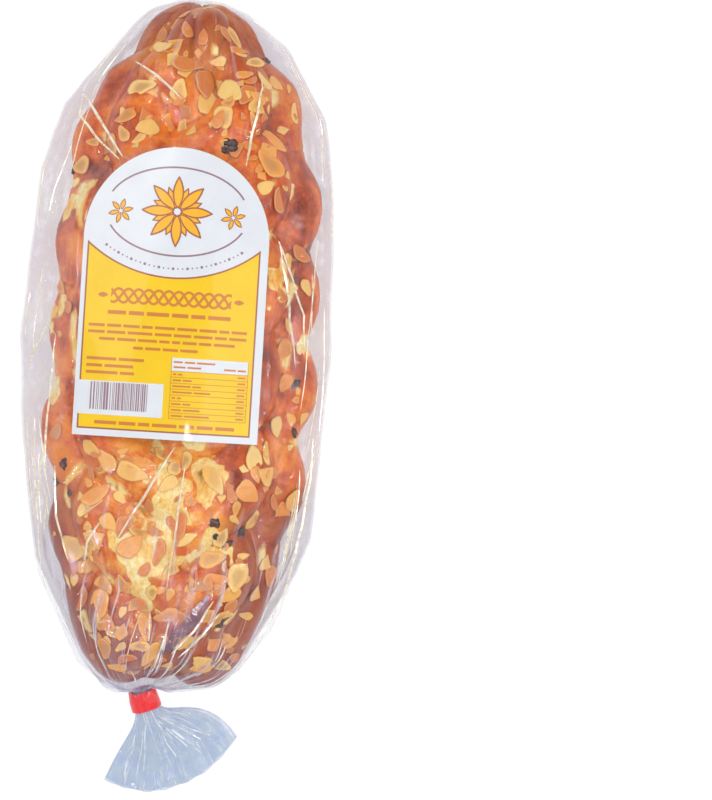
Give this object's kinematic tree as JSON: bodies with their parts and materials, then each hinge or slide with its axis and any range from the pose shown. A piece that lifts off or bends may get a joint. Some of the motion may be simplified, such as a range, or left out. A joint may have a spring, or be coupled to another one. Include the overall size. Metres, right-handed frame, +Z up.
{
  "type": "plaited christmas loaf in a clear bag",
  "caption": "Plaited sweet christmas loaf with flaked almonds and raisins, in a clear bag with a round-topped label, a taped neck and a fan of spare film.",
  "frame": {"origin": "centre of the loaf's flat base, where the bag rests on the table", "axes": "+Z up; +Y along the loaf to the bag's closed end, so the gathered neck is at -Y; +X to the right as seen from above"},
  "size_m": [0.1393, 0.3617, 0.0716],
  "materials": {
    "bagged_loaf": "glazed brown crust with pale almond flakes, seen through clear gloss film",
    "label": "gloss paper, white with a golden yellow panel",
    "neck_tape": "gloss red tape"
  },
  "bodies": {
    "root": {"bagged_loaf": "bagged_loaf", "label": "label", "neck_tape": "neck_tape"}
  },
  "joints": []
}
